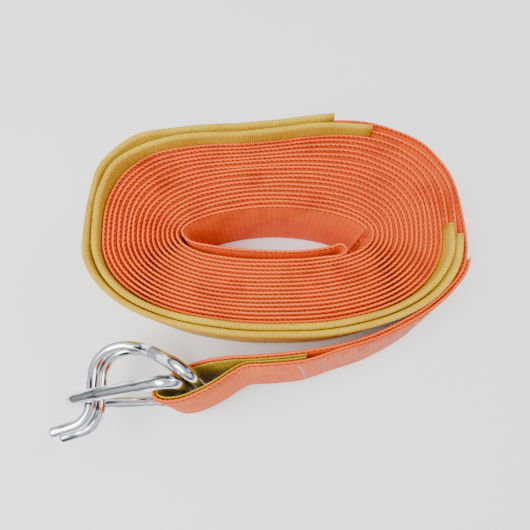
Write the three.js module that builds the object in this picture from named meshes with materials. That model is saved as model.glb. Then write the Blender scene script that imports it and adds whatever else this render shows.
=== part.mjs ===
// Load strap: flat webbing rolled up on its edge, two wear sleeves on its outer turns,
// and a sewn eye that holds a double-J wire hook and a triangle ring.
// Millimetres, +Z up, +X along the roll, +Y away from the hook side.
import * as THREE from "three";

// Webbing
const webWidth = 50;
const webThickness = 1.8;

// Roll: the space in the middle, its place, and the slack left between two turns on each side
const coreLength = 108.3;
const coreDepth = 33;
const rollCentreX = 5;
const rollCentreY = 74;
const turns = 18;
const stepsPerTurn = 36;
const gapFront = 0.53;
const gapBack = 0.88;
const gapLeft = 1;
const gapRight = 1;
const coreRoundFront = 2.3;
const coreRoundBack = 1.85;
const rimRoundFrontLeft = 2.05;
const rimRoundFrontRight = 2.7;
const rimRoundBackLeft = 3.6;
const rimRoundBackRight = 2.95;
const rimSkew = 0.055;
const rimSkewBack = 0.02;

// Loose inner end, which runs along the back and doubles back along the front
const freeEndTurn = -0.02;
const foldLeftTurn = -0.5;
const joinTurn = 0.22;
const looseRunY = -11.7;
const looseReach = 41.5;
const looseFoldIn = [4.2, -5.3];
const looseRise = [[18, 3], [34, 1]];
const looseHook = [[-9, 2.5], [-3, 4.2], [0, 1.4], [-3, -1.9], [-14, -3.6]];

// Wear sleeves: flat woven tubes round the outer two turns
const sleeveWall = 0.6;
const sleeveClearance = 0.3;
const sleeveHeight = 56;
const sleeveFold = 1.2;
const innerSleeveStartTurn = 16;
const innerSleeveEndTurn = 16.833;
const outerSleeveStartTurn = 17.01;
const outerSleeveEndTurn = 17.788;
const sleeveEaseTurns = 0.07;

// Tail and sewn lap. The tail's places are in plan, with the rise off the floor and the lean in
// degrees, which is how far the lower edge stands out from the upright.
const eyeLean = 14;
const eyeY = -26.7;
const lapGap = 0.4;
const linerThickness = 0.8;
const linerGap = 0.5;
const tailCourse = [
  [115.8, 65.1, 0.1, 2],
  [113.5, 50.3, 0.1, 5.5],
  [104.8, 37.2, 0.1, 9.5],
  [94.7, 27.4, 0.1, 12],
  [84, 20.3, 0.3, 13],
  [62.9, 9.9, 1.4, 13.7],
  [41.8, 3.3, 3.8, 14],
  [20.9, -0.3, 7.6, 14],
];

// Eye: its two runs and its fold in plan, from where they part and meet, which is at x = 0
const eyeNeckY = 15.3;
const eyeRear = [[-19, 14.2], [-31, 12.3], [-41, 8.8], [-50, 3.4]];
const eyeFold = [[-55.3, -1.8], [-55, -5.4], [-51, -7.6]];
const eyeFront = [[-42.5, -7.3], [-32.7, -3.6], [-24, 1.2], [-16.4, 6.4], [-9.6, 9.8]];

// Hardware in the eye
const hookWire = 6.2;
const ringWire = 7;
const wireSides = 10;
const edgeSlack = 6.4;
const pairGap = 0.4;
const ringBarX = -43;
const ringBarY = 0.7;
const ringPoint = 78.5;
const ringNoseRadius = 10;
const ringCornerRadius = 6.5;
const ringSwing = -4.6;
const hookBarX = -35.5;
const hookBarY = 3;
const hookCrestX = -45;
const hookCrestY = 9.6;
const hookInset = 2;
const hookCrestRadius = 9;
const hookShoulderX = -70;
const hookShoulderY = 25.3;
const hookShoulderRadius = 14;
const hookCornerRadius = 6;
const hookArchX = -100.3;
const hookArchY = 29.5;
const hookArchRadius = 15;
const hookThroatX = -94.8;
const hookThroatY = -15.5;
const hookBendRadius = 10;
const hookTipX = -113.3;
const hookTipY = -21;
const lowerShiftX = 2.4;
const lowerShiftY = -2;
const bendStep = 20;

const colours = { webbing: 0xf2672a, yellow: 0xe0bd3c, zinc: 0xc4cad0 };

const up = new THREE.Vector3(0, 0, 1);
const point = (x, y, z = 0) => new THREE.Vector3(x, y, z);
const radians = THREE.MathUtils.degToRad;
const ease = (from, to, value) => THREE.MathUtils.smoothstep(value, from, to);

// A band over the sleeved strap is thicker by this much on each of its sides.
const sleeveSide = sleeveWall + sleeveClearance;

// How far the strap has moved over for a sleeve that starts at a turn: done one station early.
function rise(start, turn) {
  const done = start - 1 / stepsPerTurn;
  return ease(done - sleeveEaseTurns, done, turn);
}

// Further out than the plain winding by the sleeves that lie underneath.
function sleeveBulge(turn) {
  const first = rise(innerSleeveStartTurn, turn);
  const second = rise(outerSleeveStartTurn, turn);
  const third = rise(outerSleeveStartTurn + 1, turn);
  return sleeveSide * (first + 2 * second + third);
}

// A place on the winding: whole turns are at the right, and it runs clockwise from above.
function rollPoint(turn) {
  const angle = turn * 2 * Math.PI;
  const across = Math.cos(angle);
  const along = -Math.sin(angle);
  const gapX = across > 0 ? gapRight : gapLeft;
  const gapY = along > 0 ? gapBack : gapFront;
  const part = Math.min(Math.max(turn / turns, 0), 1);
  const coreRound = along > 0 ? coreRoundBack : coreRoundFront;
  const rimBack = across > 0 ? rimRoundBackRight : rimRoundBackLeft;
  const rimFront = across > 0 ? rimRoundFrontRight : rimRoundFrontLeft;
  const round = THREE.MathUtils.lerp(coreRound, along > 0 ? rimBack : rimFront, part);
  const halfX = coreLength / 2 + turn * (webThickness + gapX) + sleeveBulge(turn);
  const halfY = coreDepth / 2 + turn * (webThickness + gapY) + sleeveBulge(turn);
  const share = 2 / round;
  const x = Math.sign(across) * halfX * Math.abs(across) ** share;
  const y = Math.sign(along) * halfY * Math.abs(along) ** share;
  const skew = part * (rimSkew + rimSkewBack * along);
  return point(rollCentreX + x, rollCentreY + y + skew * x);
}

// The sleeved length stands on the sleeve's lower wall, and the rest on the floor.
function rollLift(turn) {
  const risen = rise(innerSleeveStartTurn, turn);
  const lowered = rise(outerSleeveEndTurn + sleeveEaseTurns + 2 / stepsPerTurn, turn);
  return sleeveSide * (risen - lowered);
}

// Stations of a band: its centre, the direction of its width, and the turn it belongs to.
function rollStations(from, to) {
  const stations = [];
  const count = Math.round((to - from) * stepsPerTurn);
  for (let i = 0; i <= count; i++) {
    const turn = from + ((to - from) * i) / count;
    const centre = rollPoint(turn);
    centre.z = webWidth / 2 + rollLift(turn);
    stations.push({ centre, width: up.clone(), turn });
  }
  return stations;
}

// A smooth run through chosen stations, with closer steps where it bends.
function smoothRun(controls, steps) {
  const line = new THREE.CatmullRomCurve3(controls.map((c) => c.centre), false, "centripetal");
  const widths = new THREE.CatmullRomCurve3(controls.map((c) => c.width), false, "centripetal");
  const fine = steps * 20;
  const weight = [0];
  for (let i = 1; i <= fine; i++) {
    const before = line.getPoint((i - 1) / fine);
    const here = line.getPoint(i / fine);
    const bend = line.getTangent((i - 1) / fine).angleTo(line.getTangent(i / fine));
    weight.push(weight[i - 1] + before.distanceTo(here) / webWidth + bend * 2);
  }
  const stations = [];
  let at = 0;
  for (let k = 0; k <= steps; k++) {
    while (at < fine && weight[at] < (weight[fine] * k) / steps) at++;
    const centre = line.getPoint(at / fine);
    const along = line.getTangent(at / fine);
    const width = widths.getPoint(at / fine);
    width.addScaledVector(along, -width.dot(along)).normalize();
    stations.push({ centre, width });
  }
  return stations;
}

const tangentAt = (stations, i) =>
  point(0, 0)
    .subVectors(
      stations[Math.min(i + 1, stations.length - 1)].centre,
      stations[Math.max(i - 1, 0)].centre,
    )
    .normalize();

// The side of a band that faces the hook side of the tail: width crossed with its course.
const sideAt = (stations, i) =>
  point(0, 0).crossVectors(stations[i].width, tangentAt(stations, i)).normalize();

const shifted = (stations, offset) =>
  stations.map((s, i) => ({
    centre: s.centre.clone().addScaledVector(sideAt(stations, i), offset),
    width: s.width,
    turn: s.turn,
  }));

// A closed mesh from rings of points. hollow rings hold an outer loop and then an inner loop.
function loft(rings, { closed = false, hollow = false } = {}) {
  const size = rings[0].length;
  const loop = hollow ? size / 2 : size;
  const places = rings.flat().flatMap((p) => [p.x, p.y, p.z]);
  const index = [];
  const spans = closed ? rings.length : rings.length - 1;
  const quad = (a, b, c, d) => index.push(a, b, c, a, c, d);
  for (let r = 0; r < spans; r++) {
    const here = r * size;
    const next = ((r + 1) % rings.length) * size;
    for (let k = 0; k < loop; k++) {
      const l = (k + 1) % loop;
      quad(here + k, here + l, next + l, next + k);
      if (hollow) quad(here + loop + l, here + loop + k, next + loop + k, next + loop + l);
    }
  }
  if (!closed) {
    const last = (rings.length - 1) * size;
    for (let k = 0; k < loop; k++) {
      const l = (k + 1) % loop;
      if (hollow) {
        quad(loop + k, loop + l, l, k);
        quad(last + k, last + l, last + loop + l, last + loop + k);
      } else if (k > 0 && l > 0) {
        index.push(0, l, k);
        index.push(last, last + k, last + l);
      }
    }
  }
  const geometry = new THREE.BufferGeometry();
  geometry.setAttribute("position", new THREE.Float32BufferAttribute(places, 3));
  geometry.setIndex(index);
  geometry.computeVertexNormals();
  return geometry;
}

// A band's ring at each station, from a section of [through, across] pairs.
function bandRings(stations, section) {
  return stations.map((s, i) => {
    const side = sideAt(stations, i);
    return section.map(([through, across]) =>
      s.centre.clone().addScaledVector(side, through).addScaledVector(s.width, across),
    );
  });
}

function flatBand(stations, thickness, width) {
  const t = thickness / 2;
  const w = width / 2;
  const section = [[-t, -w], [t, -w], [t, w], [-t, w]];
  return loft(bandRings(stations, section));
}

// The roll's loose inner end: along the back, round to the front, and back under itself.
function innerEnd() {
  const back = [];
  const steps = Math.round((freeEndTurn - foldLeftTurn) * stepsPerTurn);
  for (let i = 0; i <= steps; i++) {
    back.push(rollPoint(freeEndTurn + ((foldLeftTurn - freeEndTurn) * i) / steps));
  }
  const left = back[back.length - 1];
  const runY = rollCentreY + looseRunY;
  const endX = rollCentreX + looseReach;
  const run = [
    point(left.x + looseFoldIn[0], left.y + looseFoldIn[1]),
    ...looseRise.map(([x, y]) => point(left.x + x, runY + y)),
    point(rollCentreX, runY),
    point((rollCentreX + endX) / 2 - looseReach / 8, runY),
    ...looseHook.map(([x, y]) => point(endX + x, runY + y)),
  ];
  const joined = [0, 1, 2].map((k) => rollPoint(joinTurn + k / stepsPerTurn));
  const controls = [...back, ...run, ...joined].map((centre) => {
    centre.z = webWidth / 2;
    return { centre, width: up.clone() };
  });
  const stations = smoothRun(controls, 62);
  const cut = stations.findIndex((s, i) => i > 30 && s.centre.distanceTo(joined[0]) < 3);
  return stations.slice(0, cut > 0 ? cut : stations.length - 2);
}

// Places in the leaning frame of the eye, whose origin lies on the floor under its bars.
const leanAngle = radians(eyeLean);
const eyeWidth = point(0, Math.sin(leanAngle), Math.cos(leanAngle));
const eyeFrame = new THREE.Matrix4()
  .makeRotationX(-leanAngle)
  .setPosition(0, eyeY, 0);
const inEye = (x, y, z) => point(x, y, z).applyMatrix4(eyeFrame);

// Heights in the eye: the ring's lower leg, the webbing over it, and the upper leg over that.
const lowLeg = ringWire / 2 + 0.45;
const webLow = lowLeg + ringWire / 2 + edgeSlack;
const webMid = webLow + webWidth / 2;
const highLeg = webLow + webWidth + edgeSlack + ringWire / 2;

const lapStep = webThickness + lapGap;
const eyeStep = webThickness + 2 * linerThickness + 3 * linerGap;

function tailControls() {
  const places = tailCourse.map(([x, y, clear, lean]) => {
    const angle = radians(lean);
    const low = (webWidth * Math.cos(angle) + webThickness * Math.sin(angle)) / 2;
    return point(x, y, low + clear);
  });
  return places.map((centre, i) => {
    const before = places[Math.max(i - 1, 0)];
    const after = places[Math.min(i + 1, places.length - 1)];
    const course = after.clone().sub(before).setZ(0).normalize();
    const out = point(-course.y, course.x);
    const lean = radians(tailCourse[i][3]);
    const width = up.clone().multiplyScalar(Math.cos(lean)).addScaledVector(out, -Math.sin(lean));
    return { centre, width };
  });
}

const eyeControls = (list) =>
  list.map(([x, y]) => ({ centre: inEye(x, y, webMid), width: eyeWidth.clone() }));

// The folded-back end lies on the outside of the tail, further off where the liner is between.
function lapControls(tail) {
  const last = tail.length - 1;
  const lap = [];
  for (let i = last; i >= 1; i--) {
    const offset = i === last ? eyeStep : lapStep;
    const centre = tail[i].centre.clone().addScaledVector(sideAt(tail, i), offset);
    lap.push({ centre, width: tail[i].width.clone() });
  }
  const start = lap[lap.length - 1].centre;
  const beyond = tail[0].centre.clone().addScaledVector(sideAt(tail, 0), lapStep);
  lap.push({ centre: start.clone().lerp(beyond, 0.5), width: tail[0].width.clone() });
  return lap;
}

function strapStations() {
  const winding = rollStations(joinTurn, turns);
  const tail = tailControls();
  const rollEnd = winding.slice(-3, -1);
  const run = smoothRun(
    [
      ...rollEnd,
      ...tail,
      ...eyeControls([[0, eyeNeckY], ...eyeRear, ...eyeFold, ...eyeFront, [0, eyeNeckY - eyeStep]]),
      ...lapControls(tail),
    ],
    96,
  );
  const leave = run.findIndex((s) => s.centre.distanceTo(rollEnd[1].centre) < 4);
  return {
    all: [...innerEnd(), ...winding.slice(0, -2), ...run.slice(Math.max(leave, 2))],
    winding,
    run,
  };
}

// A sleeve's stations lie on the strap's own, with its cut ends in between.
function windingBetween(winding, from, to) {
  const cut = (turn) => {
    const i = winding.findIndex((s) => s.turn > turn);
    const [a, b] = [winding[i - 1], winding[i]];
    const share = (turn - a.turn) / (b.turn - a.turn);
    return { centre: a.centre.clone().lerp(b.centre, share), width: up.clone(), turn };
  };
  const inside = winding.filter((s) => s.turn > from + 0.004 && s.turn < to - 0.004);
  return [cut(from), ...inside, cut(to)];
}

function sleeve(stations) {
  const half = webThickness / 2 + sleeveClearance;
  const low = -webWidth / 2 - sleeveClearance;
  const high = low + sleeveHeight - 2 * sleeveWall;
  const outer = half + sleeveWall;
  const section = [
    [-outer, low + sleeveFold],
    [-half, low - sleeveWall],
    [half, low - sleeveWall],
    [outer, low + sleeveFold],
    [outer, high - sleeveFold],
    [half, high + sleeveWall],
    [-half, high + sleeveWall],
    [-outer, high - sleeveFold],
    [-half, low + sleeveFold],
    [-half, low],
    [half, low],
    [half, low + sleeveFold],
    [half, high - sleeveFold],
    [half - sleeveWall, high],
    [sleeveWall - half, high],
    [-half, high - sleeveFold],
  ];
  return loft(bandRings(stations, section), { hollow: true });
}

// The liner lies against the inner face of the eye and ends where the rows of thread start.
function liner(run) {
  const inside = run.filter((s) => s.centre.x < tailCourse[tailCourse.length - 1][0] - 1);
  const offset = webThickness / 2 + linerGap + linerThickness / 2;
  return flatBand(shifted(inside, offset), linerThickness, webWidth);
}

// A bent wire's centreline: corners joined by straight runs, each corner rounded.
function bentLine(corners) {
  const line = [];
  const count = corners.length;
  corners.forEach(({ at, radius = 0 }, i) => {
    if (!radius) {
      line.push(at.clone());
      return;
    }
    const before = corners[(i + count - 1) % count].at.clone().sub(at).normalize();
    const after = corners[(i + 1) % count].at.clone().sub(at).normalize();
    const turn = Math.PI - before.angleTo(after);
    const reach = radius * Math.tan(turn / 2);
    const middle = before.clone().add(after).normalize();
    const centre = at.clone().addScaledVector(middle, radius / Math.cos(turn / 2));
    const start = at.clone().addScaledVector(before, reach).sub(centre);
    const axis = point(0, 0).crossVectors(after, before).normalize();
    const steps = Math.max(2, Math.ceil(THREE.MathUtils.radToDeg(turn) / bendStep));
    for (let k = 0; k <= steps; k++) {
      line.push(start.clone().applyAxisAngle(axis, (turn * k) / steps).add(centre));
    }
  });
  return line;
}

// Round wire along a line, its section carried on without twist from one bend to the next.
function wire(line, diameter, closed = false) {
  const count = line.length;
  const tangents = line.map((p, i) => {
    const before = closed ? line[(i + count - 1) % count] : line[Math.max(i - 1, 0)];
    const after = closed ? line[(i + 1) % count] : line[Math.min(i + 1, count - 1)];
    const into = p.clone().sub(before).normalize();
    const out = after.clone().sub(p).normalize();
    return into.add(out).normalize();
  });
  const upright = Math.abs(tangents[0].z) > 0.9;
  const side = point(0, 0).crossVectors(tangents[0], upright ? point(1, 0) : up).normalize();
  const rings = line.map((p, i) => {
    side.addScaledVector(tangents[i], -side.dot(tangents[i])).normalize();
    const other = point(0, 0).crossVectors(tangents[i], side);
    const ring = [];
    for (let k = 0; k < wireSides; k++) {
      const angle = (k * 2 * Math.PI) / wireSides;
      const offset = side.clone().multiplyScalar(Math.cos(angle));
      offset.addScaledVector(other, Math.sin(angle));
      ring.push(p.clone().addScaledVector(offset, diameter / 2));
    }
    return ring;
  });
  return loft(rings, { closed });
}

// Triangle ring: its upright bar stands in the eye and its two legs meet in a round nose.
function triangleRing() {
  const swing = radians(ringSwing);
  const place = (reach, z) =>
    inEye(ringBarX - reach * Math.cos(swing), ringBarY + reach * Math.sin(swing), z);
  const mid = (lowLeg + highLeg) / 2;
  const corners = [
    { at: place(0, lowLeg), radius: ringCornerRadius },
    { at: place(ringPoint, mid), radius: ringNoseRadius },
    { at: place(0, highLeg), radius: ringCornerRadius },
  ];
  return wire(bentLine(corners), ringWire, true);
}

// Double-J hook: one wire, from one tip up its J, over the shoulder, round the eye's edges and back.
function doubleHook() {
  const mid = (lowLeg + highLeg) / 2;
  const half = (highLeg - lowLeg) / 2 - hookInset;
  const pair = (hookWire + pairGap) / 2;
  const oneSide = (sign, shiftX, shiftY) => {
    const spread = mid + sign * half;
    const level = mid + sign * pair;
    return [
      { at: inEye(hookBarX, hookBarY, spread), radius: hookCornerRadius },
      { at: inEye(hookCrestX, hookCrestY, spread), radius: hookCrestRadius },
      { at: inEye(hookShoulderX, hookShoulderY, level), radius: hookShoulderRadius },
      { at: inEye(hookArchX + shiftX, hookArchY + shiftY, level), radius: hookArchRadius },
      { at: inEye(hookThroatX + shiftX, hookThroatY + shiftY, level), radius: hookBendRadius },
      { at: inEye(hookTipX + shiftX, hookTipY + shiftY, level) },
    ];
  };
  const upper = oneSide(1, 0, 0);
  const lower = oneSide(-1, lowerShiftX, lowerShiftY);
  return wire(bentLine([...upper.reverse(), ...lower]), hookWire);
}

const looks = {
  webbing: { color: colours.webbing, roughness: 0.85, metalness: 0 },
  yellow: { color: colours.yellow, roughness: 0.8, metalness: 0 },
  zinc: { color: colours.zinc, roughness: 0.25, metalness: 1 },
};

const strap = new THREE.Group();

function add(name, geometry, look) {
  const mesh = new THREE.Mesh(geometry, new THREE.MeshStandardMaterial(looks[look]));
  mesh.name = name;
  strap.add(mesh);
}

const { all, winding, run } = strapStations();
add("webbing_strap", flatBand(all, webThickness, webWidth), "webbing");
const innerSleeved = windingBetween(winding, innerSleeveStartTurn, innerSleeveEndTurn);
const outerSleeved = windingBetween(winding, outerSleeveStartTurn, outerSleeveEndTurn);
add("inner_wear_sleeve", sleeve(innerSleeved), "yellow");
add("outer_wear_sleeve", sleeve(outerSleeved), "yellow");
add("eye_liner", liner(run), "yellow");
add("triangle_ring", triangleRing(), "zinc");
add("double_j_hook", doubleHook(), "zinc");

// The origin lies on the floor under the middle of the whole.
const box = new THREE.Box3().setFromObject(strap);
const middle = box.getCenter(point(0, 0)).setZ(box.min.z);
for (const mesh of strap.children) mesh.geometry.translate(-middle.x, -middle.y, -middle.z);

export default strap;
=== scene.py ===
import math

import bpy
import numpy as np
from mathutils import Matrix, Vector, noise


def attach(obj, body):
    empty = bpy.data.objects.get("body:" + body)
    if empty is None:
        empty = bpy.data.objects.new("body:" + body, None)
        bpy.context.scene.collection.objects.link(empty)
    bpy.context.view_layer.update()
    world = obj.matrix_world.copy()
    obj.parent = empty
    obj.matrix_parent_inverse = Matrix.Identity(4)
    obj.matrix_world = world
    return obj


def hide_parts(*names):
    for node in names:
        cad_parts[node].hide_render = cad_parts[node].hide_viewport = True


# Rolled load strap with a hooked end. The dictionaries are in millimetres, but studio is in metres.
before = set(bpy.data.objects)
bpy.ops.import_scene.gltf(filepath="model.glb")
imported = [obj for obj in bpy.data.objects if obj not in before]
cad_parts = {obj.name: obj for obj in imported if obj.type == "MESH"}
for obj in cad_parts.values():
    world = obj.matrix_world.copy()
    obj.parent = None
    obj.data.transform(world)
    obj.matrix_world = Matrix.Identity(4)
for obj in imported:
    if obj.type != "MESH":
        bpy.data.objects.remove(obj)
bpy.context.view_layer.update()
print("frame loaded")

frameShift = np.array([2.398, 50.495, -0.011])  # from the camera's foot to the middle of the whole


def toFrame(points):
    return (np.asarray(points, float) - frameShift) / 1000


# Camera, floor and light
view = {"height": 235.6, "pitch": 80.8, "lens": 23.094, "shiftY": 42 / 530}
cameraData = bpy.data.cameras.new("photoCamera")
camera = bpy.data.objects.new("photoCamera", cameraData)
bpy.context.scene.collection.objects.link(camera)
cameraData.sensor_width = 36
cameraData.lens = view["lens"]
cameraData.shift_y = view["shiftY"]
cameraData.clip_start = 0.005
cameraData.clip_end = 20
camera.location = toFrame([0, 0, view["height"]])
camera.rotation_euler = (math.radians(90 - view["pitch"]), 0, 0)
bpy.context.scene.camera = camera

studio = {
    "floorSize": 3.0, "floorDrop": 0.0005, "keyPower": 14.0, "sidePower": 4.5, "worldStrength": 1.2,
    "lowSky": (0.42, (0.55, 0.56, 0.58, 1)), "highSky": (1.0, (0.8, 0.8, 0.8, 1)),
    "skyBands": ((0.55, 0.2), (0.64, 0.22), (0.74, 1.0), (0.86, 1.0), (0.92, 0.55)),
    "floorGrey": (0.93, 0.93, 0.93, 1), "floorPale": (0.95, 0.95, 0.95, 1),
}


def areaLight(name, place, aim, size, power):
    data = bpy.data.lights.new(name, "AREA")
    data.shape = "RECTANGLE"
    data.size, data.size_y = size
    data.energy = power
    lamp = bpy.data.objects.new(name, data)
    lamp.location = place
    lamp.rotation_euler = (Vector(aim) - Vector(place)).to_track_quat("-Z", "Y").to_euler()
    bpy.context.scene.collection.objects.link(lamp)


areaLight("keyLight", (-0.35, -0.15, 0.85), (0, 0, 0), (0.7, 0.5), studio["keyPower"])
areaLight("sideLight", (0.75, 0.45, 0.5), (0, 0, 0.02), (0.4, 0.6), studio["sidePower"])


# Node helpers
def openSocket(sockets, name):
    return next(s for s in sockets if s.name == name and s.enabled)


class Tree:
    def __init__(self, tree):
        self.tree = tree

    def add(self, kind, inputs=None, **settings):
        node = self.tree.nodes.new(kind)
        for key, value in settings.items():
            setattr(node, key, value)
        for key, value in (inputs or {}).items():
            target = node.inputs[key] if isinstance(key, int) else openSocket(node.inputs, key)
            self.join(value, target)
        return node

    def join(self, value, target):
        if isinstance(value, bpy.types.NodeSocket):
            self.tree.links.new(value, target)
        else:
            target.default_value = value

    def math(self, operation, a, b=0.0, c=0.0):
        return self.add("ShaderNodeMath", {0: a, 1: b, 2: c}, operation=operation).outputs[0]

    def scaled(self, vector, factor):
        node = self.add("ShaderNodeVectorMath", {0: vector, "Scale": factor}, operation="SCALE")
        return node.outputs[0]

    def summed(self, a, b):
        return self.add("ShaderNodeVectorMath", {0: a, 1: b}, operation="ADD").outputs[0]


def worldLight():
    world = bpy.data.worlds.new("studioWorld")
    bpy.context.scene.world = world
    world.use_nodes = True
    tree = Tree(world.node_tree)
    world.node_tree.nodes.clear()
    coords = tree.add("ShaderNodeTexCoord").outputs["Generated"]
    height = tree.add("ShaderNodeSeparateXYZ", {"Vector": coords}).outputs["Z"]
    ramp = tree.add("ShaderNodeValToRGB", {"Fac": tree.math("MULTIPLY_ADD", height, 0.5, 0.5)})
    stops = ramp.color_ramp.elements
    stops[0].position, stops[0].color = studio["lowSky"]
    stops[1].position, stops[1].color = studio["highSky"]
    for place, shade in studio["skyBands"]:
        stop = stops.new(place)
        stop.color = (shade, shade, shade * 1.03, 1)
    glow = {"Color": ramp.outputs["Color"], "Strength": studio["worldStrength"]}
    back = tree.add("ShaderNodeBackground", glow)
    tree.add("ShaderNodeOutputWorld", {"Surface": back.outputs[0]})


worldLight()


# Materials
def newMaterial(name):
    material = bpy.data.materials.new(name)
    material.use_nodes = True
    material.node_tree.nodes.clear()
    tree = Tree(material.node_tree)
    shader = tree.add("ShaderNodeBsdfPrincipled")
    tree.add("ShaderNodeOutputMaterial", {"Surface": shader.outputs[0]})
    return material, tree, shader


def mixColours(tree, factor, a, b):
    node = tree.add("ShaderNodeMix", data_type="RGBA")
    for socket, value in (("Factor", factor), ("A", a), ("B", b)):
        tree.join(value, openSocket(node.inputs, socket))
    return openSocket(node.outputs, "Result")


def noiseOf(tree, vector, scale, detail=3.0, rough=0.55):
    return tree.add(
        "ShaderNodeTexNoise", {"Vector": vector, "Scale": scale, "Detail": detail, "Roughness": rough}
    ).outputs["Fac"]


def ramped(tree, value, low, high):
    node = tree.add("ShaderNodeMapRange", {"Value": value, "From Min": low, "From Max": high})
    return node.outputs["Result"]


def bumped(tree, shader, height, distance, strength):
    bump = tree.add("ShaderNodeBump", {"Height": height, "Distance": distance, "Strength": strength})
    tree.join(bump.outputs[0], shader.inputs["Normal"])


def waveOf(tree, at, rate=math.pi):
    return tree.math("ABSOLUTE", tree.math("SINE", tree.math("MULTIPLY", at, rate)))


def objectCoords(tree):
    return tree.add("ShaderNodeTexCoord").outputs["Object"]


def bandCoords(tree):
    uv = tree.add("ShaderNodeUVMap", uv_map="UVMap").outputs[0]
    parts = tree.add("ShaderNodeSeparateXYZ", {"Vector": uv}).outputs
    return tree.math("MULTIPLY", parts["X"], 1000.0), tree.math("MULTIPLY", parts["Y"], 1000.0)


def setShader(tree, shader, values):
    for name, value in values.items():
        tree.join(value, shader.inputs[name])


webbingLook = {
    "orange": (0.84, 0.115, 0.001, 1),
    "paleOrange": (0.9, 0.145, 0.001, 1),
    "deepOrange": (0.5, 0.025, 0.001, 1),
    "grooveShadeRed": (0.2, 0.006, 0.002, 1),
    "notchShadePurple": (0.05, 0.004, 0.008, 1),
    "ropePitch": 2.8,
    "ribPitch": 1.3,
    "blockLength": 3.4,
}


def webbingMaterial():
    look = webbingLook
    material, tree, shader = newMaterial("orangeWebbing")
    along, around = bandCoords(tree)
    across = tree.math("MODULO", around, bandEdge["halfRound"])
    objectAt = objectCoords(tree)
    jitter = noiseOf(tree, objectAt, 700.0)
    drift = noiseOf(tree, objectAt, 55.0)
    # rope-like twist on the two selvedges, its notches deepest down their sides
    edge = ramped(tree, across, bandEdge["flat"] - 0.7, bandEdge["flat"] + 0.1)
    fromTop = tree.math("SUBTRACT", across, (bandEdge["flat"] + bandEdge["halfRound"]) / 2)
    shoulder = ramped(tree, tree.math("ABSOLUTE", fromTop), 0.1, 1.15)
    sway = tree.math("MULTIPLY_ADD", jitter, 1.5, tree.math("MULTIPLY", drift, 5.0))
    leaned = tree.math("ADD", along, tree.math("MULTIPLY_ADD", fromTop, 0.9, sway))
    notch = ramped(tree, waveOf(tree, tree.math("DIVIDE", leaned, look["ropePitch"])), 0.75, 0.2)
    notchDepth = tree.math("MULTIPLY", notch, tree.math("MULTIPLY_ADD", shoulder, 0.75, 0.25))
    rope = tree.math("MULTIPLY_ADD", notchDepth, -1.0, 1.0)
    # ribs along the band, broken into blocks by the cross threads
    ribRow = tree.math("DIVIDE", across, look["ribPitch"])
    ribShade = tree.math("MULTIPLY_ADD", waveOf(tree, ribRow), 0.35, 0.65)
    odd = tree.math("MODULO", tree.math("FLOOR", ribRow), 2.0)
    blockRow = tree.math("DIVIDE", along, look["blockLength"])
    block = waveOf(tree, tree.math("ADD", blockRow, tree.math("MULTIPLY", odd, 0.1)))
    blockShade = tree.math("MULTIPLY_ADD", tree.math("POWER", block, 0.4), 0.42, 0.58)
    flatWeave = tree.math("MULTIPLY", ribShade, blockShade)
    weave = tree.add("ShaderNodeMix", {0: edge, 2: flatWeave, 3: rope}, data_type="FLOAT").outputs[0]
    # colour
    tone = mixColours(tree, ramped(tree, jitter, 0.42, 0.7), look["orange"], look["paleOrange"])
    deep = tree.math("MULTIPLY", ramped(tree, drift, 0.5, 0.72), 0.55)
    tone = mixColours(tree, deep, tone, look["deepOrange"])
    # painted shade: the sides of the rounded selvedges darkened towards deep orange, their tops left
    # bright
    side = tree.math("MULTIPLY", tree.math("MULTIPLY", shoulder, edge), 0.75)
    tone = mixColours(tree, side, tone, look["deepOrange"])
    # painted shade: the weave's notches, rib valleys and block gaps darkened towards red
    tone = mixColours(tree, ramped(tree, weave, 0.7, 0.25), tone, look["grooveShadeRed"])
    # painted shade: dark purple spots in the weave's notches, broken up by noise
    spots = ramped(tree, noiseOf(tree, objectAt, 230.0), 0.6, 0.68)
    notchShadeSpots = tree.math("MULTIPLY", spots, ramped(tree, weave, 0.6, 0.3))
    tone = mixColours(tree, tree.math("MULTIPLY", notchShadeSpots, 0.9), tone, look["notchShadePurple"])
    setShader(tree, shader, {"Base Color": tone, "Roughness": 0.7, "Specular IOR Level": 0.3})
    bumped(tree, shader, tree.math("ADD", weave, tree.math("MULTIPLY", jitter, 0.45)), 0.0006, 0.8)
    return material


sleeveLook = {
    "yellow": (0.76, 0.46, 0.001, 1),
    "deepYellow": (0.5, 0.24, 0.001, 1),
    "paleYellow": (0.82, 0.56, 0.008, 1),
}
# the sleeve's yellows darkened by about a third: painted shade for the liner inside the eye
shadedLinerLook = {
    "yellow": (0.52, 0.32, 0.006, 1),
    "deepYellow": (0.28, 0.14, 0.001, 1),
    "paleYellow": (0.6, 0.42, 0.02, 1),
}
yellowWeave = {"ribPitch": 1.3, "threadPitch": 0.6}


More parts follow.
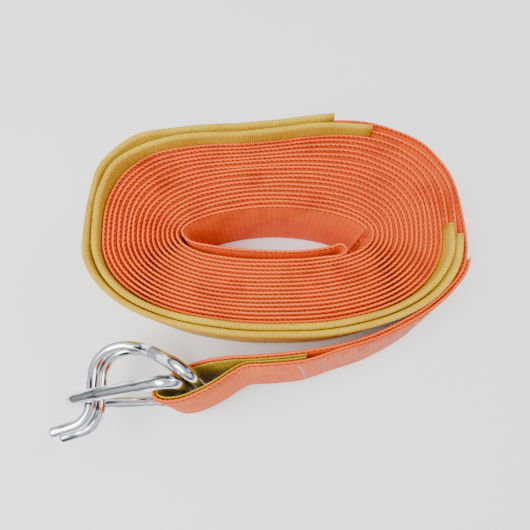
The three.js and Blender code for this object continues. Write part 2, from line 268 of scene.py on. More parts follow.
def sleeveMaterial(name, look):
    material, tree, shader = newMaterial(name)
    along, around = bandCoords(tree)
    objectAt = objectCoords(tree)
    fine = noiseOf(tree, objectAt, 1400.0)
    broad = noiseOf(tree, objectAt, 45.0)
    rib = waveOf(tree, tree.math("DIVIDE", along, yellowWeave["ribPitch"]))
    thread = waveOf(tree, around, math.pi / yellowWeave["threadPitch"])
    height = tree.math("ADD", tree.math("POWER", rib, 0.5), tree.math("MULTIPLY", thread, 0.35))
    # painted shade: the rib troughs darkened towards deep yellow, the rib crests left yellow
    colour = mixColours(tree, ramped(tree, rib, 0.1, 0.85), look["deepYellow"], look["yellow"])
    colour = mixColours(tree, ramped(tree, broad, 0.4, 0.72), colour, look["paleYellow"])
    deep = tree.math("MULTIPLY", ramped(tree, fine, 0.5, 0.8), 0.5)
    colour = mixColours(tree, deep, colour, look["deepYellow"])
    setShader(tree, shader, {"Base Color": colour, "Roughness": 0.6, "Specular IOR Level": 0.4})
    bumped(tree, shader, tree.math("ADD", height, tree.math("MULTIPLY", fine, 0.3)), 0.0006, 0.9)
    return material


zincLook = {
    "silver": (0.83, 0.86, 0.9, 1), "grey": (0.27, 0.28, 0.3, 1), "dark": (0.07, 0.085, 0.11, 1),
    "streaksAndReflections": (45.0, 300.0, 1.0), "farOff": (1.0, 1.0, 1.0),
}


def zincMaterial(name, dullPlace):
    material, tree, shader = newMaterial(name)
    objectAt = objectCoords(tree)
    uv = tree.add("ShaderNodeUVMap", uv_map="UVMap").outputs[0]
    drawn = tree.add("ShaderNodeMapping", {"Vector": uv, "Scale": zincLook["streaksAndReflections"]}).outputs[0]
    streaksAndReflections = noiseOf(tree, drawn, 1.0, 4.0, 0.6)
    cloud = noiseOf(tree, objectAt, 120.0, 4.0)
    specks = noiseOf(tree, objectAt, 1100.0, 2.0)
    away = tree.add("ShaderNodeVectorMath", {0: objectAt, 1: dullPlace}, operation="DISTANCE")
    dull = ramped(tree, away.outputs["Value"], 0.0105, 0.007)
    patch = tree.math("MAXIMUM", tree.math("MULTIPLY", ramped(tree, cloud, 0.55, 0.72), 0.5), dull)
    # painted reflection: dark streaks along the wire mixed into the silver base colour; the same
    # streaks also give the bump
    colour = mixColours(tree, ramped(tree, streaksAndReflections, 0.52, 0.6), zincLook["silver"], zincLook["dark"])
    colour = mixColours(tree, patch, colour, zincLook["grey"])
    rough = tree.math("MULTIPLY_ADD", patch, 0.34, 0.12)
    setShader(tree, shader, {"Base Color": colour, "Metallic": 1.0, "Roughness": rough})
    height = tree.math("ADD", tree.math("MULTIPLY", specks, 0.12), tree.math("MULTIPLY", streaksAndReflections, 0.5))
    bumped(tree, shader, height, 0.0004, 0.3)
    return material


threadLook = {"dark": (0.22, 0.19, 0.2, 1), "pale": (0.55, 0.5, 0.5, 1)}


def threadMaterial():
    material, tree, shader = newMaterial("greyThread")
    twisted = {"Vector": objectCoords(tree), "Scale": 900.0, "Distortion": 2.0}
    twist = tree.add("ShaderNodeTexWave", twisted).outputs["Fac"]
    # painted shade: the twist's grooves dark and its ridges pale, following the bump
    colour = mixColours(tree, twist, threadLook["dark"], threadLook["pale"])
    setShader(tree, shader, {"Base Color": colour, "Roughness": 0.5})
    bumped(tree, shader, twist, 0.0001, 0.6)
    return material


def floorMaterial():
    material, tree, shader = newMaterial("paleFloor")
    grain = noiseOf(tree, objectCoords(tree), 12.0)
    colour = mixColours(tree, grain, studio["floorGrey"], studio["floorPale"])
    setShader(tree, shader, {"Base Color": colour, "Roughness": 0.85})
    return material


# Paths: the same runs as the solids follow
# dents: x, spread, shift in y, and 1 at the back or -1 at the front
roll = {
    "webWidth": 50, "webThickness": 1.8, "coreLength": 108.3, "coreDepth": 33,
    "centre": (5, 74), "turns": 18, "stepsPerTurn": 36,
    "gapFront": 0.53, "gapBack": 0.88, "gapLeft": 1, "gapRight": 1,
    "coreRoundFront": 2.3, "coreRoundBack": 1.85, "rimRoundFrontLeft": 2.05, "rimRoundFrontRight": 2.7,
    "rimRoundBackLeft": 3.6, "rimRoundBackRight": 2.95, "rimSkew": 0.055, "rimSkewBack": 0.02,
    "freeEndTurn": -0.02, "foldLeftTurn": -0.5, "joinTurn": 0.22,
    "looseRunY": -11.7, "looseReach": 41.5, "leaveFold": (4.2, -5.3), "fromFold": [(18, 3), (34, 1)],
    "atEnd": [(-9, 2.5), (-3, 4.2), (0, 1.4), (-3, -1.9), (-14, -3.6)],
    "finePerTurn": 96, "runSpacing": 0.8, "wander": 0.22, "wanderWaves": 2.2, "wanderDrift": 0.3,
    "topShift": 1.3, "topWaves": 3, "topDrift": 1.9,
    "dents": [
        (-8, 26, -2.6, 1), (52, 24, 1.6, 1), (-62, 20, 0.8, 1), (-30, 22, 0.7, -1), (30, 20, -0.8, -1),
    ],
}
wear = {
    "wall": 0.6, "clearance": 0.3, "height": 56, "ease": 0.07, "waves": 2.4, "waveHeight": 4.5,
    "innerStart": 16, "innerEnd": 16.833, "outerStart": 17.01, "outerEnd": 17.788,
}
sleeveSide = wear["wall"] + wear["clearance"]
bandEdge = {"flat": roll["webWidth"] - roll["webThickness"]}
bandEdge["halfRound"] = bandEdge["flat"] + math.pi * roll["webThickness"] / 2


def ease(low, high, value):
    t = np.clip((value - low) / (high - low), 0, 1)
    return t * t * (3 - 2 * t)


def rise(start, turn):
    done = start - 1 / roll["stepsPerTurn"]
    return ease(done - wear["ease"], done, turn)


def sleeveBulge(turn):
    first, second = rise(wear["innerStart"], turn), rise(wear["outerStart"], turn)
    return sleeveSide * (first + 2 * second + rise(wear["outerStart"] + 1, turn))


def rollLift(turn):
    lowered = rise(wear["outerEnd"] + wear["ease"] + 2 / roll["stepsPerTurn"], turn)
    return sleeveSide * (rise(wear["innerStart"], turn) - lowered)


def rollPoint(turn):
    turn = np.asarray(turn, float)
    angle = turn * 2 * math.pi
    across, along = np.cos(angle), -np.sin(angle)
    gapX = np.where(across > 0, roll["gapRight"], roll["gapLeft"])
    gapY = np.where(along > 0, roll["gapBack"], roll["gapFront"])
    part = np.clip(turn / roll["turns"], 0, 1)
    rimBack = np.where(across > 0, roll["rimRoundBackRight"], roll["rimRoundBackLeft"])
    rimFront = np.where(across > 0, roll["rimRoundFrontRight"], roll["rimRoundFrontLeft"])
    roundBack = roll["coreRoundBack"] + (rimBack - roll["coreRoundBack"]) * part
    roundFront = roll["coreRoundFront"] + (rimFront - roll["coreRoundFront"]) * part
    share = 2 / np.where(along > 0, roundBack, roundFront)
    halfX = roll["coreLength"] / 2 + turn * (roll["webThickness"] + gapX) + sleeveBulge(turn)
    halfY = roll["coreDepth"] / 2 + turn * (roll["webThickness"] + gapY) + sleeveBulge(turn)
    x = np.sign(across) * halfX * np.abs(across) ** share
    y = np.sign(along) * halfY * np.abs(along) ** share
    skew = part * (roll["rimSkew"] + roll["rimSkewBack"] * along)
    return np.stack([roll["centre"][0] + x, roll["centre"][1] + y + skew * x], -1)


def smoothLine(points, at):
    points = np.asarray(points, float)
    count = len(points)
    padded = np.vstack([2 * points[0] - points[1], points, 2 * points[-1] - points[-2]])
    spot = np.asarray(at) * (count - 1)
    first = np.minimum(spot.astype(int), count - 2)
    t = (spot - first)[:, None]
    p0, p1, p2, p3 = (padded[first + k] for k in range(4))
    d0, d1, d2 = (
        np.maximum(np.sqrt(np.linalg.norm(b - a, axis=1)), 1e-4)[:, None]
        for a, b in ((p0, p1), (p1, p2), (p2, p3))
    )
    m1 = ((p1 - p0) / d0 - (p2 - p0) / (d0 + d1) + (p2 - p1) / d1) * d1
    m2 = ((p2 - p1) / d1 - (p3 - p1) / (d1 + d2) + (p3 - p2) / d2) * d1
    return p1 + m1 * t + (-3 * p1 + 3 * p2 - 2 * m1 - m2) * t**2 + (2 * p1 - 2 * p2 + m1 + m2) * t**3


def travelled(points):
    return np.concatenate([[0], np.cumsum(np.linalg.norm(np.diff(points, axis=0), axis=1))])


def evenRun(centres, widths):
    fine = np.linspace(0, 1, 4000)
    line, width = smoothLine(centres, fine), smoothLine(widths, fine)
    length = travelled(line)
    goal = np.linspace(0, length[-1], int(length[-1] / roll["runSpacing"]) + 1)

    def pick(data):
        return np.stack([np.interp(goal, length, data[:, k]) for k in range(3)], -1)

    return pick(line), pick(width)


def along(centres):
    step = np.gradient(centres, axis=0)
    return step / np.linalg.norm(step, axis=1, keepdims=True)


def unit(vectors):
    return vectors / np.linalg.norm(vectors, axis=-1, keepdims=True)


upward = np.array([0.0, 0.0, 1.0])


def innerEnd():
    back = rollPoint(np.linspace(roll["freeEndTurn"], roll["foldLeftTurn"], 18))
    left, middleX = back[-1], roll["centre"][0]
    runY, endX = roll["centre"][1] + roll["looseRunY"], middleX + roll["looseReach"]
    run = [left + roll["leaveFold"]]
    run += [(left[0] + x, runY + y) for x, y in roll["fromFold"]]
    run += [(middleX, runY), ((middleX + endX) / 2 - roll["looseReach"] / 8, runY)]
    run += [(endX + x, runY + y) for x, y in roll["atEnd"]]
    joined = rollPoint(roll["joinTurn"] + np.arange(3) / roll["stepsPerTurn"])
    flat = np.vstack([back, run, joined])
    centres = np.column_stack([flat, np.full(len(flat), roll["webWidth"] / 2)])
    line, width = evenRun(centres, np.tile(upward, (len(centres), 1)))
    joint = np.append(joined[0], roll["webWidth"] / 2)
    cut = np.argmax(np.linalg.norm(line - joint, axis=1) < 1.5 * roll["runSpacing"])
    return line[:cut], width[:cut]


eye = {
    "lean": 14, "y": -26.7, "edgeSlack": 6.4, "lapGap": 0.4, "floorGap": 0.45, "linerBack": 1,
    "linerThickness": 0.8, "linerGap": 0.5, "ringWire": 7, "hookWire": 6.2,
    "tail": [
        (115.8, 65.1, 0.1, 2), (113.5, 50.3, 0.1, 5.5), (104.8, 37.2, 0.1, 9.5), (94.7, 27.4, 0.1, 12),
        (84, 20.3, 0.3, 13), (62.9, 9.9, 1.4, 13.7), (41.8, 3.3, 3.8, 14), (20.9, -0.3, 7.6, 14),
    ],
    "rear": [(0, 15.3), (-19, 14.2), (-31, 12.3), (-41, 8.8), (-50, 3.4)],
    "fold": [(-55.3, -1.8), (-55, -5.4), (-51, -7.6)],
    "front": [(-42.5, -7.3), (-32.7, -3.6), (-24, 1.2), (-16.4, 6.4), (-9.6, 9.8)],
}
leanAngle = math.radians(eye["lean"])
eyeWidth = np.array([0, math.sin(leanAngle), math.cos(leanAngle)])
eyeOut = np.array([0, math.cos(leanAngle), -math.sin(leanAngle)])
lowLeg = eye["ringWire"] / 2 + eye["floorGap"]
webLow = lowLeg + eye["ringWire"] / 2 + eye["edgeSlack"]
webMid = webLow + roll["webWidth"] / 2
highLeg = webLow + roll["webWidth"] + eye["edgeSlack"] + eye["ringWire"] / 2
lapStep = roll["webThickness"] + eye["lapGap"]
eyeStep = roll["webThickness"] + 2 * eye["linerThickness"] + 3 * eye["linerGap"]


def inEye(x, y, z):
    return np.array([x, eye["y"], 0.0]) + y * eyeOut + z * eyeWidth


def sideOf(widths, courses):
    return unit(np.cross(widths, courses))


def tailAndEye():
    places, widths = [], []
    for x, y, clear, lean in eye["tail"]:
        angle = math.radians(lean)
        low = (roll["webWidth"] * math.cos(angle) + roll["webThickness"] * math.sin(angle)) / 2
        places.append((x, y, low + clear))
    places = np.array(places)
    last = len(places) - 1
    for i in range(len(places)):
        course = places[min(i + 1, last)] - places[max(i - 1, 0)]
        course[2] = 0
        course = unit(course)
        angle = math.radians(eye["tail"][i][3])
        out = np.array([-course[1], course[0], 0])
        widths.append(upward * math.cos(angle) - out * math.sin(angle))
    widths = np.array(widths)
    ahead = [places[min(i + 1, last)] - places[max(i - 1, 0)] for i in range(len(places))]
    sides = sideOf(widths, unit(np.array(ahead)))
    front = eye["front"] + [(0, eye["rear"][0][1] - eyeStep)]
    loop = np.array([inEye(x, y, webMid) for x, y in eye["rear"] + eye["fold"] + front])
    lap = [places[last] + sides[last] * eyeStep]
    lap += [places[i] + sides[i] * lapStep for i in range(last - 1, 0, -1)]
    beyond = places[0] + sides[0] * lapStep
    lap.append((lap[-1] + beyond) / 2)
    lapWidths = [widths[i] for i in range(last, 0, -1)] + [widths[0]]
    tipTurns = roll["turns"] - np.array([2, 1]) / roll["stepsPerTurn"]
    leave = np.column_stack([rollPoint(tipTurns), roll["webWidth"] / 2 + rollLift(tipTurns)])
    centres = np.vstack([leave, places, loop, lap])
    allWidths = np.vstack([[upward, upward], widths, np.tile(eyeWidth, (len(loop), 1)), lapWidths])
    line, width = evenRun(centres, allWidths)
    course = along(line)
    width = unit(width - np.sum(width * course, axis=1)[:, None] * course)
    return line[3:], width[3:]


def waveAt(turn, waves, depth):
    angle = turn * 2 * math.pi
    return noise.noise(Vector((math.cos(angle) * waves, math.sin(angle) * waves, depth)))


def windingLine():
    lastTurn = roll["turns"] - 2 / roll["stepsPerTurn"]
    turns = np.arange(roll["joinTurn"], lastTurn, 1 / roll["finePerTurn"])
    flat = rollPoint(turns)
    centres = np.column_stack([flat, roll["webWidth"] / 2 + rollLift(turns)])
    course = along(centres)
    side = sideOf(np.tile(upward, (len(turns), 1)), course)
    settle = ease(0.3, 0.9, turns) * (1 - ease(17.6, 17.9, turns))
    for i, turn in enumerate(turns):
        wave = waveAt(turn, roll["wanderWaves"], turn * roll["wanderDrift"])
        centres[i] += side[i] * wave * roll["wander"] * settle[i]
    depth = ease(8, 17, turns)
    for at, spread, shift, where in roll["dents"]:
        onSide = where * -np.sin(turns * 2 * math.pi)
        near = np.exp(-((centres[:, 0] - at) / spread) ** 2) * ease(0.1, 0.7, onSide)
        centres[:, 1] += shift * near * depth
    return turns, centres


# Geometry Nodes: a band, tube or wire whose section follows a line of stations
def bandTree():
    tree = bpy.data.node_groups.new("bandAlongStations", "GeometryNodeTree")
    face = tree.interface
    face.new_socket("Stations", in_out="INPUT", socket_type="NodeSocketGeometry")
    for name, kind in (
        ("Section", "NodeSocketObject"), ("Rows", "NodeSocketInt"), ("Columns", "NodeSocketInt"),
        ("Merge distance", "NodeSocketFloat"), ("Material", "NodeSocketMaterial"),
    ):
        face.new_socket(name, in_out="INPUT", socket_type=kind)
    face.new_socket("Band", in_out="OUTPUT", socket_type="NodeSocketGeometry")
    t = Tree(tree)
    given = t.add("NodeGroupInput").outputs
    grid = t.add("GeometryNodeMeshGrid", {"Vertices X": given["Rows"], "Vertices Y": given["Columns"]})
    index = t.add("GeometryNodeInputIndex").outputs[0]
    row = t.math("FLOOR", t.math("DIVIDE", t.math("ADD", index, 0.5), given["Columns"]))
    column = t.math("SUBTRACT", index, t.math("MULTIPLY", row, given["Columns"]))
    section = t.add("GeometryNodeObjectInfo", {"Object": given["Section"]}).outputs["Geometry"]

    def fromStations(name, kind):
        field = t.add("GeometryNodeInputNamedAttribute", {"Name": name}, data_type=kind)
        value = openSocket(field.outputs, "Attribute")
        sample = t.add(
            "GeometryNodeSampleIndex",
            {"Geometry": given["Stations"], "Value": value, "Index": row}, data_type=kind,
        )
        return openSocket(sample.outputs, "Value")

    def placeIn(geometry, at):
        here = t.add("GeometryNodeInputPosition").outputs[0]
        sample = t.add(
            "GeometryNodeSampleIndex", {"Geometry": geometry, "Value": here, "Index": at},
            data_type="FLOAT_VECTOR",
        )
        return openSocket(sample.outputs, "Value")

    centre = placeIn(given["Stations"], row)
    offset = t.add("ShaderNodeSeparateXYZ", {"Vector": placeIn(section, column)}).outputs
    grow = t.add("ShaderNodeSeparateXYZ", {"Vector": fromStations("grow", "FLOAT_VECTOR")}).outputs
    through = t.math("MULTIPLY", offset["X"], grow["X"])
    isTop = t.math("GREATER_THAN", offset["Y"], 0.0)
    across = t.math("MULTIPLY_ADD", offset["Y"], grow["Y"], t.math("MULTIPLY", isTop, grow["Z"]))
    side = t.scaled(fromStations("side", "FLOAT_VECTOR"), through)
    width = t.scaled(fromStations("across", "FLOAT_VECTOR"), across)
    placed = t.add("GeometryNodeSetPosition", {
        "Geometry": grid.outputs["Mesh"], "Position": t.summed(centre, t.summed(side, width)),
    })
    uv = t.add("ShaderNodeCombineXYZ", {"X": fromStations("run", "FLOAT"), "Y": offset["Z"]}).outputs[0]
    onPoints = t.add(
        "GeometryNodeFieldOnDomain", {"Value": uv}, data_type="FLOAT_VECTOR", domain="POINT"
    )
    stored = t.add("GeometryNodeStoreNamedAttribute", {
        "Geometry": placed.outputs[0], "Name": "UVMap", "Value": openSocket(onPoints.outputs, "Value"),
    }, data_type="FLOAT2", domain="CORNER")
    merged = t.add("GeometryNodeMergeByDistance", {
        "Geometry": stored.outputs[0], "Distance": given["Merge distance"],
    })
    smooth = t.add("GeometryNodeSetShadeSmooth", {"Geometry": merged.outputs[0]})
    solid = t.add("GeometryNodeRealizeInstances", {"Geometry": smooth.outputs[0]})
    final = t.add("GeometryNodeSetMaterial", {
        "Geometry": solid.outputs[0], "Material": given["Material"],
    })
    t.add("NodeGroupOutput", {"Band": final.outputs[0]})
    return tree


bandAlongStations = bandTree()


def meshObject(name, points, faces=()):
    mesh = bpy.data.meshes.new(name)
    mesh.from_pydata([tuple(p) for p in points], [], faces)
    made = bpy.data.objects.new(name, mesh)
    bpy.context.scene.collection.objects.link(made)
    return made


def setAttribute(mesh, name, kind, values):
    attribute = mesh.attributes.new(name, kind, "POINT")
    key = "value" if kind == "FLOAT" else "vector"
    attribute.data.foreach_set(key, np.asarray(values, np.float32).ravel())


def addNodes(owner, group, values):
    modifier = owner.modifiers.new(group.name, "NODES")
    modifier.node_group = group
    ids = {item.name: item.identifier for item in group.interface.items_tree if item.in_out == "INPUT"}
    for name, value in values.items():
        modifier[ids[name]] = value


def toPlainMesh(source, name, leftover=()):
    bpy.context.view_layer.update()
    graph = bpy.context.evaluated_depsgraph_get()
    mesh = bpy.data.meshes.new_from_object(source.evaluated_get(graph), depsgraph=graph)
    made = bpy.data.objects.new(name, mesh)
    mesh.name = name
    bpy.context.scene.collection.objects.link(made)
    for old in (source, *leftover):
        bpy.data.objects.remove(old)
    return made


def signedVolume(mesh):
    mesh.calc_loop_triangles()
    spots = np.array([v.co for v in mesh.vertices])
    corners = spots[np.array([t.vertices for t in mesh.loop_triangles])]
    return np.sum(corners[:, 0] * np.cross(corners[:, 1], corners[:, 2])) / 6


def builtBand(name, stations, section, material, attributes):
    path = meshObject(name + "Path", stations)
    for label, values in attributes.items():
        setAttribute(path.data, label, "FLOAT" if label == "run" else "FLOAT_VECTOR", values)
    profile = meshObject(name + "Section", np.asarray(section) / 1000)
    addNodes(path, bandAlongStations, {
        "Section": profile, "Rows": len(stations), "Columns": len(section),
        "Merge distance": 1e-5, "Material": material,
    })
    made = toPlainMesh(path, name, [profile])
    if signedVolume(made.data) < 0:
        made.data.flip_normals()
    return made


def sweep(name, centres, across, section, material, grow=None, closed=False):
    centres = toFrame(centres)
    course = unit(np.roll(centres, -1, 0) - np.roll(centres, 1, 0)) if closed else along(centres)
    across = unit(across - np.sum(across * course, axis=1)[:, None] * course)
    side = sideOf(across, course)
    run = travelled(centres)
    grow = np.tile([1.0, 1.0, 0.0], (len(centres), 1)) if grow is None else np.array(grow, float)
    if closed:
        order = [*range(len(centres)), 0]
        run = np.append(run, run[-1] + np.linalg.norm(centres[0] - centres[-1]))
    else:
        order = [0, *range(len(centres)), len(centres) - 1]
        run = run[order]
    grow = grow[order] * [1, 1, 0.001]
    if not closed:
        grow[0] = grow[-1] = 0
    return builtBand(name, centres[order], section, material, {
        "side": side[order], "across": across[order], "grow": grow, "run": run,
    })


def withPerimeter(outline):
    closed = np.vstack([outline, outline[:1]])
    return np.column_stack([closed, travelled(closed)])


def roundedBand(thickness, width, edgeSteps=5, faceSteps=2):
    r, flat = thickness / 2, width / 2 - thickness / 2
    angles = np.linspace(0, math.pi, edgeSteps + 1)[:-1]
    outline = [(-r, y) for y in np.linspace(-flat, flat, faceSteps + 1)[:-1]]
    outline += [(-r * math.cos(a), flat + r * math.sin(a)) for a in angles]
    outline += [(r, y) for y in np.linspace(flat, -flat, faceSteps + 1)[:-1]]
    outline += [(r * math.cos(a), -flat - r * math.sin(a)) for a in angles]
    return withPerimeter(np.array(outline))


# The webbing, from its free inner end to the folded-back end
orangeWebbing = webbingMaterial()


def makeWebbing():
    innerLine, innerWidth = innerEnd()
    turns, winding = windingLine()
    runLine, runWidth = tailAndEye()
    first = np.argmax(np.linalg.norm(runLine - winding[-1], axis=1) > 3)
    line = np.vstack([innerLine, winding, runLine[first:]])
    width = np.vstack([innerWidth, np.tile(upward, (len(winding), 1)), runWidth[first:]])
    grow = np.tile([1.0, 1.0, 0.0], (len(line), 1))
    for i in range(len(winding)):
        wave = waveAt(turns[i], roll["topWaves"], turns[i] * roll["topDrift"])
        grow[len(innerLine) + i][2] = wave * roll["topShift"]
    section = roundedBand(roll["webThickness"], roll["webWidth"])
    band = sweep("strapWebbing", line, width, section, orangeWebbing, grow)
    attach(band, "strap")
    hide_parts("webbing_strap")
    return runLine, runWidth


runLine, runWidth = makeWebbing()
print("webbing made")


# Wear sleeves
def makeSleeve(name, node, start, end, material, seed):
    turns, line = windingLine()
    keep = (turns >= start) & (turns <= end)
    turns, line = turns[keep], line[keep]
    half = roll["webThickness"] / 2 + wear["clearance"]
    outerHalf = half + wear["wall"]
    halfWidth = roll["webWidth"] / 2 + wear["clearance"]
    section = roundedBand(2 * outerHalf, 2 * (halfWidth + wear["wall"]), 6, 3)
    tall = wear["height"] - 2 * wear["wall"] - 2 * halfWidth
    rises = [tall + waveAt(turn, wear["waves"], seed) * wear["waveHeight"] for turn in turns]
    # out along the outer skin and back along the inner one
    forward = [(1.0, 1.0, r) for r in rises]
    backward = [(half / outerHalf, halfWidth / (halfWidth + wear["wall"]), r) for r in rises[::-1]]
    side = sideOf(np.tile(upward, (len(line), 1)), along(line))
    order = [*range(2 * len(line)), 0]
    centres, run = toFrame(np.vstack([line, line[::-1]])), travelled(toFrame(line))
    sleeve = builtBand(name, centres[order], section, material, {
        "side": np.vstack([side, side[::-1]])[order], "across": np.tile(upward, (len(order), 1)),
        "grow": np.array(forward + backward)[order] * [1, 1, 0.001],
        "run": np.concatenate([run, run[::-1], [0]]),
    })
    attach(sleeve, "strap")
    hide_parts(node)


sleeveYellow = sleeveMaterial("sleeveYellow", sleeveLook)
makeSleeve("innerSleeve", "inner_wear_sleeve", wear["innerStart"], wear["innerEnd"], sleeveYellow, 3.1)
makeSleeve("outerSleeve", "outer_wear_sleeve", wear["outerStart"], wear["outerEnd"], sleeveYellow, 8.7)
print("sleeves made")


# Liner inside the eye
def makeLiner():
    course = along(runLine)
    side = sideOf(runWidth, course)
    inside = runLine[:, 0] < eye["tail"][-1][0] - eye["linerBack"]
    offset = roll["webThickness"] / 2 + eye["linerGap"] + eye["linerThickness"] / 2
    line = runLine[inside] + side[inside] * offset
    section = roundedBand(eye["linerThickness"], roll["webWidth"], 4, 2)
    linerYellow = sleeveMaterial("linerYellow", shadedLinerLook)
    liner = sweep("eyeLiner", line, runWidth[inside], section, linerYellow)
    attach(liner, "strap")
    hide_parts("eye_liner")


makeLiner()
print("liner made")


# Wire hook and ring
wires = {"spacing": 0.8, "sides": 24}


def bentLine(corners, step=3.0):
    line, count = [], len(corners)
    for i, (at, radius) in enumerate(corners):
        if not radius:
            line.append(at)
            continue
        before, after = unit(corners[i - 1][0] - at), unit(corners[(i + 1) % count][0] - at)
        turn = math.pi - math.acos(float(np.clip(before @ after, -1, 1)))
        middle = unit(before + after)
        centre = at + middle * radius / math.cos(turn / 2)
        start = at + before * radius * math.tan(turn / 2) - centre
        axis = unit(np.cross(after, before))
        steps = max(2, math.ceil(math.degrees(turn) / step))
        for k in range(steps + 1):
            a = turn * k / steps
            line.append(centre + start * math.cos(a) + np.cross(axis, start) * math.sin(a))
    return np.array(line)


def fillStraights(line, closed):
    ends = np.vstack([line, line[:1]]) if closed else line
    filled = []
    for a, b in zip(ends[:-1], ends[1:]):
        steps = max(1, int(np.linalg.norm(b - a) / wires["spacing"]))
        filled += [a + (b - a) * k / steps for k in range(steps)]
    return np.array(filled if closed else filled + [ends[-1]])


def carriedFrame(line, start, closed):
    course = unit(np.roll(line, -1, 0) - np.roll(line, 1, 0)) if closed else along(line)
    across, now = [], start
    for tangent in course:
        now = unit(now - (now @ tangent) * tangent)
        across.append(now)
    return np.array(across)


def roundSection(diameter):
    angles = np.linspace(0, 2 * math.pi, wires["sides"] + 1)[:-1]
    return withPerimeter(np.column_stack([np.cos(angles), np.sin(angles)]) * diameter / 2)


ring = {
    "barX": -43, "barY": 0.7, "point": 78.5, "noseRadius": 10, "cornerRadius": 6.5, "swing": -4.6,
    "weldAt": (-70.5, -1.5, 16), "weldRise": 0.12, "weldReach": 1.5,
    "neckDepth": 0.35, "neckAt": 2.6, "neckReach": 0.8,
}


def makeRing():
    swing, mid = math.radians(ring["swing"]), (lowLeg + highLeg) / 2

    def place(reach, z):
        x, y = ring["barX"] - reach * math.cos(swing), ring["barY"] + reach * math.sin(swing)
        return inEye(x, y, z)

    corners = [
        (place(0, lowLeg), ring["cornerRadius"]), (place(ring["point"], mid), ring["noseRadius"]),
        (place(0, highLeg), ring["cornerRadius"]),
    ]
    line = fillStraights(bentLine(corners), True)
    across = carriedFrame(line, eyeOut, True)
    near = np.linalg.norm(line - inEye(*ring["weldAt"]), axis=1)
    away = near - near.min()
    weld = np.exp(-(away / ring["weldReach"]) ** 2)
    weld -= ring["neckDepth"] * np.exp(-((away - ring["neckAt"]) / ring["neckReach"]) ** 2)
    thicker = 1 + ring["weldRise"] * weld
    grow = np.column_stack([thicker, thicker, np.zeros(len(line))])
    zinc = zincMaterial("ringZinc", zincLook["farOff"])
    wire = sweep("triangleRing", line, across, roundSection(eye["ringWire"]), zinc, grow, closed=True)
    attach(wire, "ring")
    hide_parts("triangle_ring")


hook = {
    "bar": (-35.5, 3), "crest": (-45, 9.6), "shoulder": (-70, 25.3), "arch": (-100.3, 29.5),
    "throat": (-94.8, -15.5), "tip": (-113.3, -21), "lowerShift": (2.4, -2), "inset": 2, "pairGap": 0.4,
    "dullPatch": (-58.5, 18.1, 16.5),
    "radii": {"bar": 6, "crest": 9, "shoulder": 14, "arch": 15, "throat": 10, "tip": 0},
}


def makeHook():
    mid = (lowLeg + highLeg) / 2
    half = (highLeg - lowLeg) / 2 - hook["inset"]
    pair = (eye["hookWire"] + hook["pairGap"]) / 2

    def oneSide(sign, shiftX, shiftY):
        corners = []
        for corner, radius in hook["radii"].items():
            spread = half if corner in ("bar", "crest") else pair
            shift = (shiftX, shiftY) if corner in ("arch", "throat", "tip") else (0, 0)
            x, y = hook[corner][0] + shift[0], hook[corner][1] + shift[1]
            corners.append((inEye(x, y, mid + sign * spread), radius))
        return corners

    corners = oneSide(1, 0, 0)[::-1] + oneSide(-1, *hook["lowerShift"])
    line = fillStraights(bentLine(corners), False)
    across = carriedFrame(line, eyeOut, False)
    x, y, above = hook["dullPatch"]
    zinc = zincMaterial("hookZinc", tuple(toFrame(inEye(x, y, mid + above))))
    wire = sweep("doubleHook", line, across, roundSection(eye["hookWire"]), zinc)
    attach(wire, "hook")
    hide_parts("double_j_hook")


makeRing()
makeHook()
print("hook and ring made")


# Rows of thread through the sewn lap
sewing = {
    "start": 17.0, "end": 121.0, "amplitude": 18.5, "period": 21.0, "stitch": 2.1, "thread": 0.42,
    "innerStart": 23.0, "innerEnd": 117.0, "innerShare": 0.8, "innerPeriod": 1.18, "rowStep": 0.25,
    "halfRow": 20, "lineAt": -4.5, "lineSlant": 0.26, "barAt": 7.0, "barSlant": 0.3, "barWidth": 3.2,
    "barPeriod": 1.8, "endShare": 0.95, "back": 12, "stand": 0.02, "covered": 0.8,
}


def stitchTree():
    tree = bpy.data.node_groups.new("stitchesOnPoints", "GeometryNodeTree")
    face = tree.interface
    face.new_socket("Points", in_out="INPUT", socket_type="NodeSocketGeometry")
    for name, kind in (
        ("Stitch length", "NodeSocketFloat"), ("Thread radius", "NodeSocketFloat"),
        ("Material", "NodeSocketMaterial"),
    ):
        face.new_socket(name, in_out="INPUT", socket_type=kind)
    face.new_socket("Stitches", in_out="OUTPUT", socket_type="NodeSocketGeometry")
    t = Tree(tree)
    given = t.add("NodeGroupInput").outputs
    bead = t.add("GeometryNodeMeshUVSphere", {"Segments": 6, "Rings": 4, "Radius": 1.0})
    wide = given["Thread radius"]
    tall = t.math("MULTIPLY", given["Stitch length"], 0.5)
    size = t.add("ShaderNodeCombineXYZ", {"X": wide, "Y": wide, "Z": tall})
    shaped = t.add("GeometryNodeTransform", {
        "Geometry": bead.outputs["Mesh"], "Scale": size.outputs[0],
    })
    points = t.add("GeometryNodeMeshToPoints", {"Mesh": given["Points"]})
    course = t.add("GeometryNodeInputNamedAttribute", {"Name": "course"}, data_type="FLOAT_VECTOR")
    toward = {"Vector": openSocket(course.outputs, "Attribute")}
    turned = t.add("FunctionNodeAlignRotationToVector", toward, axis="Z")
    placed = t.add("GeometryNodeInstanceOnPoints", {
        "Points": points.outputs[0], "Instance": shaped.outputs[0], "Rotation": turned.outputs[0],
    })
    solid = t.add("GeometryNodeRealizeInstances", {"Geometry": placed.outputs[0]})
    smooth = t.add("GeometryNodeSetShadeSmooth", {"Geometry": solid.outputs[0]})
    final = t.add("GeometryNodeSetMaterial", {
        "Geometry": smooth.outputs[0], "Material": given["Material"],
    })
    t.add("NodeGroupOutput", {"Stitches": final.outputs[0]})
    return tree


stitchesOnPoints = stitchTree()


def zigzag(at, period, phase=0.0):
    return 2 * np.abs(2 * ((at / period + phase) % 1) - 1) - 1


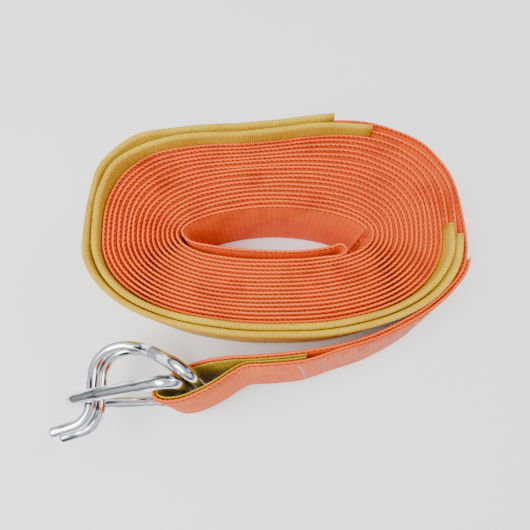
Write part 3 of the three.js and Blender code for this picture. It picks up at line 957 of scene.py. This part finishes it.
def threadRows():
    end, amplitude, half = sewing["end"], sewing["amplitude"], sewing["halfRow"]
    rows = []
    for phase in (0.0, 0.5):
        s = np.arange(sewing["start"], end, sewing["rowStep"])
        rows.append(np.column_stack([s, amplitude * zigzag(s, sewing["period"], phase)]))
    for phase in (0.25, 0.75):
        s = np.arange(sewing["innerStart"], sewing["innerEnd"], sewing["rowStep"])
        wave = zigzag(s, sewing["period"] * sewing["innerPeriod"], phase)
        rows.append(np.column_stack([s, amplitude * sewing["innerShare"] * wave]))
    v = np.linspace(-half, half, 300)
    rows.append(np.column_stack([sewing["lineAt"] + (half - v) * sewing["lineSlant"], v]))
    sideways = sewing["barWidth"] / 2 * zigzag(v, sewing["barPeriod"])
    rows.append(np.column_stack([sewing["barAt"] + (half - v) * sewing["barSlant"] + sideways, v]))
    rows.append(np.column_stack([np.full(len(v), end), v * sewing["endShare"]]))
    return rows


def makeStitches():
    length = travelled(runLine)
    side = sideOf(runWidth, along(runLine))
    foldAt = int(np.argmin(runLine[:, 0]))
    seamX = eye["tail"][-1][0] - sewing["back"]
    lapStart = foldAt + int(np.argmax(runLine[foldAt:, 0] > seamX))
    tailStart = int(np.argmax(runLine[:, 0] < seamX))
    offset = roll["webThickness"] / 2 + sewing["stand"]
    spots, courses = [], []

    def sampled(data, at):
        return np.array([np.interp(at, length, data[:, k]) for k in range(3)])

    def onFace(base, direction, s, v):
        at = length[base] + direction * s
        out, wide = unit(sampled(side, at)), unit(sampled(runWidth, at))
        return sampled(runLine, at) - offset * out + v * wide

    for base, direction in ((lapStart, 1), (tailStart, -1)):
        for row in threadRows():
            step = travelled(row)
            marks = np.arange(0, step[-1] - sewing["stitch"], sewing["stitch"])
            s, v = np.interp(marks, step, row[:, 0]), np.interp(marks, step, row[:, 1])
            places = np.array([onFace(base, direction, x, y) for x, y in zip(s, v)])
            spots.append((places[1:] + places[:-1]) / 2)
            courses.append(unit(places[1:] - places[:-1]))
    path = meshObject("stitchPoints", toFrame(np.vstack(spots)))
    setAttribute(path.data, "course", "FLOAT_VECTOR", np.vstack(courses))
    addNodes(path, stitchesOnPoints, {
        "Stitch length": sewing["stitch"] * sewing["covered"] / 1000,
        "Thread radius": sewing["thread"] / 2000, "Material": threadMaterial(),
    })
    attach(toPlainMesh(path, "eyeStitching"), "strap")


makeStitches()
print("stitching made")


# Yarn ends that stand out of the two cut ends
fray = {"count": 60, "length": 3.4, "radius": 0.2, "spread": 0.7, "stickOut": 0.3, "seed": 5}


def yarnMaterial():
    material, tree, shader = newMaterial("orangeYarn")
    fibre = noiseOf(tree, objectCoords(tree), 1500.0)
    colour = mixColours(tree, fibre, webbingLook["deepOrange"], webbingLook["paleOrange"])
    setShader(tree, shader, {"Base Color": colour, "Roughness": 0.8})
    bumped(tree, shader, fibre, 0.0002, 0.5)
    return material


def makeFrays(freeLine, freeWidth):
    chance = np.random.default_rng(fray["seed"])
    spots, courses = [], []
    for line, width in ((freeLine[::-1], freeWidth[::-1]), (runLine, runWidth)):
        end, out = line[-1], unit(line[-1] - line[-3])
        for v in chance.uniform(-0.5, 0.5, fray["count"]) * (roll["webWidth"] - 1):
            way = unit(out + chance.normal(0, fray["spread"] / 2, 3))
            spots.append(end + width[-1] * v + way * fray["length"] * fray["stickOut"])
            courses.append(way)
    path = meshObject("yarnPoints", toFrame(np.array(spots)))
    setAttribute(path.data, "course", "FLOAT_VECTOR", np.array(courses))
    addNodes(path, stitchesOnPoints, {
        "Stitch length": fray["length"] / 1000, "Thread radius": fray["radius"] / 1000,
        "Material": yarnMaterial(),
    })
    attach(toPlainMesh(path, "frayedYarn"), "strap")


makeFrays(*innerEnd())
print("frayed ends made")


# Floor
def makeFloor():
    half, low = studio["floorSize"] / 2, -studio["floorDrop"]
    corners = [(-half, -half, low), (half, -half, low), (half, half, low), (-half, half, low)]
    ground = meshObject("floor", corners, [(0, 1, 2, 3)])
    ground.data.materials.append(floorMaterial())


makeFloor()
